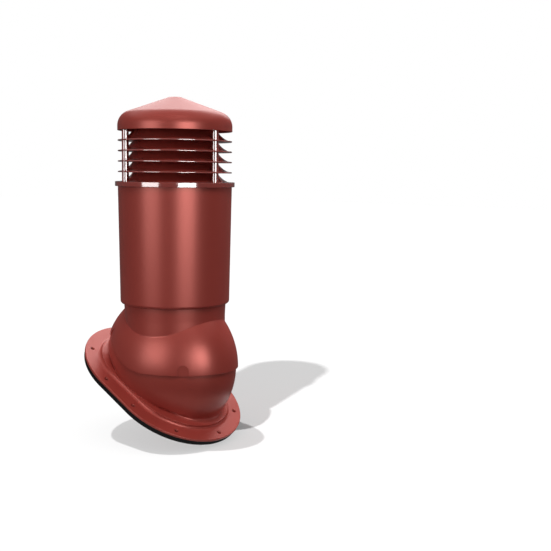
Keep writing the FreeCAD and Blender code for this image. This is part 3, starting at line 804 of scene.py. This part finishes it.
def belly(s, inset):
    """Points round the ball's oval, in step with the stadium's."""
    rise, crown, back, cheek = oval(s, inset)
    spread = math.atan2(back, rise)
    points = []
    for end in (1, -1):
        for k in range(END_POINTS):
            a = (spread - 2 * spread * k / END_POINTS) * end
            points.append((crown * math.sin(a), end * (rise + crown * math.cos(a))))
        side = math.pi / 2 - spread
        for k in range(SIDE_POINTS):
            a = side * (1 - 2 * k / SIDE_POINTS)
            points.append((-end * (cheek * math.cos(a) - back), end * cheek * math.sin(a)))
    return np.array([(x, y, 0.0) for x, y in points])


def base_cutters(s):
    """The long opening for the duct, and the screw holes with their sunk seats."""
    ends = [(s.opening_radius * math.cos(a), end * s.opening_straight + s.opening_radius * math.sin(a))
            for end in (1, -1)
            for a in (math.pi * (k / OPENING_STEPS + (end < 0)) for k in range(OPENING_STEPS + 1))]
    opening = prism("opening", ends, 0, 2 * s.ball_radius)
    opening.transform(Matrix.Rotation(-s.opening_lean, 4, "X"))
    cutters = [opening]
    face, ring = -s.flange_depth, s.flange_radius - s.hole_inset
    over, seat, under = face + s.sink_depth, face - s.sink_depth, face - 2 * s.flange_plate
    outline = [(0, over), (s.sink_radius, over), (s.sink_radius, seat),
               (s.hole_radius, seat - s.sink_radius + s.hole_radius), (s.hole_radius, under), (0, under)]
    for end in (-1, 1):
        for k in range(s.holes):
            a = math.pi * k / (s.holes - 1)
            along = end * (s.flange_straight + ring * math.sin(a)) - s.flange_shift
            hole = lathe("hole", outline, 0, 0, HOLE_SIDES)
            hole.transform(Matrix.Translation((ring * math.cos(a), along, 0)))
            cutters.append(hole)
    return joined("base_cutters", cutters)


class VENT_OT_roof_base(bpy.types.Operator):
    """Builds the roof base with its skirt, plinth and flange"""

    bl_idname = "vent.roof_base"
    bl_label = "Roof Base"

    def execute(self, context):
        s = context.scene.vent_sizes
        depth, plate, wall, edge = s.flange_depth, s.flange_plate, s.base_wall, s.edge
        gap = s.hood_wall + s.hood_gap
        plinth_top = s.plinth_height - depth

        def ball(inset):
            """Rings of the ball from its pole down to its foot."""
            ways = unit(belly(s, inset))
            rings = []
            for rise in np.linspace(math.pi / 2 - POLE_GAP, 0, BALL_ROWS):
                lean = ways * math.cos(rise) + np.array([0, 0, math.sin(rise)])
                rings.append(reach_ball(s, np.zeros(3), lean, inset))
            for level in np.linspace(0, -s.ball_foot, FOOT_ROWS)[1:]:
                rings.append(reach_ball(s, np.array([0, 0, level]), ways, inset))
            return rings

        def skirt(rings, radius):
            """Rings that carry the ball on, on its own slope at first, to the straight sided foot."""
            top, foot = rings[-1], stadium(radius, plinth_top, s)
            slope = (rings[-1] - rings[-2]) / (rings[-1] - rings[-2])[:, 2:]
            middle = top + slope * (plinth_top + s.ball_foot) * SKIRT_LEAN
            return [top * (1 - t) ** 2 + middle * 2 * t * (1 - t) + foot * t * t
                    for t in np.linspace(0, 1, SKIRT_ROWS)[1:]]

        profile = rounded([
            (s.skirt_radius, plinth_top, s.skirt_edge), (s.plinth_radius, plinth_top, s.plinth_edge),
            (s.plinth_radius, -depth, s.plinth_fillet), (s.flange_radius, -depth, s.flange_edge),
            (s.flange_radius, -depth - plate, edge), (s.skirt_radius - wall, -depth - plate, edge),
            (s.skirt_radius - wall, plinth_top, 0)])
        outer, inner = ball(gap), ball(gap + wall)
        outer += skirt(outer, s.skirt_radius)[:-1]
        inner += skirt(inner, s.skirt_radius - wall)[:-1]
        rings = outer + [stadium(r, h, s) for r, h in profile] + inner[::-1]
        piece = show("base_moulding", skin("base_moulding", rings, sharp=OVAL_CREASE))
        cut(piece, base_cutters(s), sharp=OVAL_CREASE)
        piece.data.transform(Matrix.Translation(TILT) @ Matrix.Rotation(s.roof_pitch, 4, "X"))
        finish(piece, "base", ["roof_base"], materials()["satin_polypropylene"])
        return {"FINISHED"}


class VENT_OT_roof_seal(bpy.types.Operator):
    """Builds the rubber seal under the flange"""

    bl_idname = "vent.roof_seal"
    bl_label = "Roof Seal"

    def execute(self, context):
        s = context.scene.vent_sizes
        top = -s.flange_depth - s.flange_plate
        outer = s.flange_radius - s.seal_inset
        inner, foot = outer - s.seal_width, top - s.seal_height
        profile = rounded([(outer, top, s.seal_edge), (outer, foot, s.seal_bend),
                           (inner, foot, s.seal_edge), (inner, top, s.seal_edge)])
        mesh = skin("seal_ring", [stadium(r, h, s) for r, h in profile])
        mesh.transform(Matrix.Translation(TILT) @ Matrix.Rotation(s.roof_pitch, 4, "X"))
        piece = show("seal_ring", mesh)
        finish(piece, "base", ["roof_seal"], materials()["moulded_epdm"])
        return {"FINISHED"}


class VENT_OT_duct(bpy.types.Operator):
    """Gives the duct, the sleeve and the cage screws their finishes"""

    bl_idname = "vent.duct"
    bl_label = "Duct, Sleeve and Screws"

    def execute(self, context):
        finishes = {"inner_duct": "satin_polypropylene", "insulation_sleeve": "closed_cell_foam",
                    "cage_screws": "black_polypropylene"}
        for node, material in finishes.items():
            data = frame["nodes"][node].data
            data.materials.clear()
            data.materials.append(materials()[material])
        return {"FINISHED"}


# Stage

# A soft box at a bearing in degrees from the camera's own, at a height and a distance, with its width
# and height, its radiance, and the rays that it reaches.
Lamp = namedtuple("Lamp", "bearing height distance across tall radiance rays")
LAMPS = {
    "left_strip": Lamp(-47, 0.64, 2.2, 1.30, 1.2, 7.0, "glossy"),
    "right_strip": Lamp(22, 0.64, 2.6, 1.55, 1.2, 13.5, "glossy"),
    "back_sheen": Lamp(172, 2.1, 2.6, 2.4, 1.8, 2.0, "glossy"),
    "left_fill": Lamp(-65, 0.8, 2.2, 1.2, 1.2, 2.2, "diffuse"),
    "right_side": Lamp(110, 0.8, 2.4, 1.2, 1.2, 3.2, "diffuse"),
    "high_key": Lamp(8, 2.8, 1.8, 1.2, 1.2, 8.2, "diffuse"),
    "back_box": Lamp(168, 2.4, 2.5, 2.6, 2.0, 10.0, "diffuse"),
}
# A sun on the floor alone, with its bearing and elevation in degrees, its irradiance, and the pieces
# that cast its shadow.
Sun = namedtuple("Sun", "bearing elevation irradiance shading")
SUNS = {
    "low_sun": Sun(-27.6, 44, 2.6, ["rain_cap_moulding", "louvre_rings", "cage_posts", "collar_moulding",
                                    "casing_pipe", "hood_moulding"]),
    "high_sun": Sun(-90, 71.5, 1.55, ["base_moulding", "seal_ring"]),
}
# Width of the suns' discs, which softens the shadows, and their distance.
SUN_WIDTH, SUN_AWAY = math.radians(1.5), 2.0
# Strength of the pale room on matt surfaces, and as the camera and mirrors see it.
AMBIENT, WHITE = 0.32, 1.0
# What the lights are turned to.
MIDDLE = (0, PIPE_Y, 0.3)
# Half of the floor's width, and the gap between it and the seal's lowest point.
FLOOR_REACH, FLOOR_GAP = 12, 0.0005
# Strength of the floor's glow.
FLOOR_GLOW = 0.1
# The grey cloth's height over the floor, the hole in it round the vent, its reach, its top and its sides.
CLOTH_LIFT, CLOTH_HOLE, CLOTH_REACH, CLOTH_TOP, CLOTH_SIDES = 0.0002, 0.25, 4.0, 3.2, 48
# Width of a full frame sensor in millimetres.
SENSOR = 36


def round_pipe(bearing, distance, z):
    """A place at a bearing from the camera's, in degrees, round the pipe."""
    a = bpy.context.scene.vent_stage.around + math.radians(bearing)
    return Vector((math.sin(a) * distance, PIPE_Y - math.cos(a) * distance, z))


def aimed(name, data, place):
    """A light at a place, turned to the vent's middle."""
    light = bpy.data.objects.new(name, data)
    bpy.context.scene.collection.objects.link(light)
    light.location = place
    light.rotation_euler = (Vector(MIDDLE) - place).to_track_quat("-Z", "Y").to_euler()
    return light


def linked(name, pieces, state="INCLUDE"):
    """A collection of the pieces that a light reaches, or that shade it, or that it leaves out."""
    group = bpy.data.collections.new(name)
    for piece in pieces:
        group.objects.link(bpy.data.objects[piece])
    for entry in group.collection_objects:
        entry.light_linking.link_state = state
    return group


def seen_rays(tree):
    """One where a ray comes from the camera, a glossy bounce or a transmission, else nought."""
    path = add_node(tree, "ShaderNodeLightPath")
    seen = add_node(tree, "ShaderNodeMath", {"operation": "ADD"},
                    {0: (path, "Is Camera Ray"), 1: (path, "Is Glossy Ray")})
    return add_node(tree, "ShaderNodeMath", {"operation": "ADD", "use_clamp": True},
                    {0: (seen, 0), 1: (path, "Is Transmission Ray")})


def studio_paint(s):
    """Matt white floor paint. The camera sees it as white as paper, each sun's shadow takes about a
    third of that, and the light that it throws back up at the vent is dim."""
    paint = bare_material("pale_studio_floor")
    tree = paint.node_tree
    matt = add_node(tree, "ShaderNodeBsdfDiffuse", {"Color": opaque(s.paint)})
    glow = add_node(tree, "ShaderNodeEmission", {"Color": opaque(s.white), "Strength": FLOOR_GLOW})
    both = add_node(tree, "ShaderNodeAddShader", links={0: (matt, 0), 1: (glow, 0)})
    dim = add_node(tree, "ShaderNodeBsdfDiffuse", {"Color": opaque(s.far_paint)})
    chosen = add_node(tree, "ShaderNodeMixShader", links={0: (seen_rays(tree), 0), 1: (dim, 0), 2: (both, 0)})
    add_node(tree, "ShaderNodeOutputMaterial", links={"Surface": (chosen, 0)})
    return paint


def lay_floor(s, level):
    """The pale floor."""
    corners = [(x * FLOOR_REACH, y * FLOOR_REACH, level) for x, y in ((-1, -1), (1, -1), (1, 1), (-1, 1))]
    floor = show("studio_floor", smooth_mesh("studio_floor", corners, [(0, 1, 2, 3)]))
    floor.data.materials.append(studio_paint(s))


def hang_cloth(s, level):
    """A dark grey cloth on and round the stage that only reflections see, so that the pipe's sides
    stay dark."""
    angles = [2 * math.pi * k / CLOTH_SIDES for k in range(CLOTH_SIDES)]
    rings = [[(r * math.cos(a), r * math.sin(a), z) for a in angles]
             for r, z in ((CLOTH_HOLE, level), (CLOTH_REACH, level), (CLOTH_REACH, CLOTH_TOP))]
    flag = show("dark_flag", skin("dark_flag", rings, closed=False))
    cloth = bare_material("grey_stage_cloth")
    even = add_node(cloth.node_tree, "ShaderNodeEmission", {"Color": opaque(s.cloth)})
    add_node(cloth.node_tree, "ShaderNodeOutputMaterial", links={"Surface": (even, 0)})
    flag.data.materials.append(cloth)
    flag.visible_camera = flag.visible_diffuse = flag.visible_shadow = False
    flag.visible_transmission = False


def paint_room(scene, s):
    """A pale room: dim to matt surfaces, white to the camera and to mirrors."""
    scene.world = bpy.data.worlds.new("pale_studio")
    scene.world.use_nodes = True
    tree = scene.world.node_tree
    tree.nodes.clear()
    dim = add_node(tree, "ShaderNodeBackground", {"Color": opaque(s.white), "Strength": AMBIENT})
    white = add_node(tree, "ShaderNodeBackground", {"Color": opaque(s.white), "Strength": WHITE})
    chosen = add_node(tree, "ShaderNodeMixShader",
                      links={0: (seen_rays(tree), 0), 1: (dim, 0), 2: (white, 0)})
    add_node(tree, "ShaderNodeOutputWorld", links={"Surface": (chosen, 0)})


def place_lamps():
    """The soft boxes, which light all but the floor."""
    off_floor = linked("off_floor", ["studio_floor"], "EXCLUDE")
    for name, lamp in LAMPS.items():
        data = bpy.data.lights.new(name, "AREA")
        data.shape, data.size, data.size_y = "RECTANGLE", lamp.across, lamp.tall
        data.energy = lamp.radiance * math.pi * lamp.across * lamp.tall
        light = aimed(name, data, round_pipe(lamp.bearing, lamp.distance, lamp.height))
        light.light_linking.receiver_collection = off_floor
        light.visible_diffuse = lamp.rays == "diffuse"
        light.visible_glossy = lamp.rays == "glossy"


def place_suns():
    """The suns, which light the floor alone, and whose shadows are the vent's."""
    floor_only = linked("floor_only", ["studio_floor"])
    for name, sun in SUNS.items():
        data = bpy.data.lights.new(name, "SUN")
        data.energy, data.angle = sun.irradiance, SUN_WIDTH
        height = MIDDLE[2] + SUN_AWAY * math.tan(math.radians(sun.elevation))
        light = aimed(name, data, round_pipe(sun.bearing, SUN_AWAY, height))
        light.light_linking.receiver_collection = floor_only
        light.light_linking.blocker_collection = linked(name + "_shading", sun.shading)


def place_camera(scene, s):
    """The camera, turned by its bearing, its dip and its roll."""
    lens = bpy.data.cameras.new("camera")
    lens.lens, lens.sensor_width = s.lens, SENSOR
    camera = bpy.data.objects.new("camera", lens)
    scene.collection.objects.link(camera)
    level = math.cos(s.dip)
    back = Vector((math.sin(s.aim) * level, -math.cos(s.aim) * level, math.sin(s.dip)))
    right = Vector((math.cos(s.aim), math.sin(s.aim), 0))
    up = back.cross(right)
    right, up = (right * math.cos(s.roll) + up * math.sin(s.roll),
                 up * math.cos(s.roll) - right * math.sin(s.roll))
    turn = Matrix((right, up, back)).transposed().to_4x4()
    camera.matrix_world = Matrix.Translation(round_pipe(0, s.away, s.rise)) @ turn
    scene.camera = camera


class VENT_OT_stage(bpy.types.Operator):
    """Sets up the floor, the lights and the camera"""

    bl_idname = "vent.stage"
    bl_label = "Stage"

    def execute(self, context):
        scene, s = context.scene, context.scene.vent_stage
        scene.view_settings.view_transform = "Standard"
        level = low("roof_seal").z - FLOOR_GAP
        lay_floor(s, level)
        hang_cloth(s, level + CLOTH_LIFT)
        paint_room(scene, s)
        place_lamps()
        place_suns()
        place_camera(scene, s)
        return {"FINISHED"}


class VENT_PT_panel(bpy.types.Panel):
    """Lists the steps that build the vent"""

    bl_idname = "VENT_PT_panel"
    bl_label = "Roof Vent Pipe"
    bl_space_type = "VIEW_3D"
    bl_region_type = "UI"
    bl_category = "Roof Vent"

    def draw(self, context):
        for operator in OPERATORS:
            self.layout.operator(operator.bl_idname)


GROUPS = (VentSizes, VentColours, StageSettings)
OPERATORS = (VENT_OT_rain_cap, VENT_OT_louvre_cage, VENT_OT_top_collar, VENT_OT_casing, VENT_OT_tilt_hood,
             VENT_OT_roof_base, VENT_OT_roof_seal, VENT_OT_duct, VENT_OT_stage)
CLASSES = GROUPS + OPERATORS + (VENT_PT_panel,)


def register():
    for item in CLASSES:
        bpy.utils.register_class(item)
    bpy.types.Scene.vent_sizes = PointerProperty(type=VentSizes)
    bpy.types.Scene.vent_colours = PointerProperty(type=VentColours)
    bpy.types.Scene.vent_stage = PointerProperty(type=StageSettings)


def unregister():
    del bpy.types.Scene.vent_stage, bpy.types.Scene.vent_colours, bpy.types.Scene.vent_sizes
    for item in reversed(CLASSES):
        bpy.utils.unregister_class(item)


def main():
    register()
    for operator in OPERATORS:
        group, name = operator.bl_idname.split(".")
        getattr(getattr(bpy.ops, group), name)()


if __name__ == "__main__":
    main()
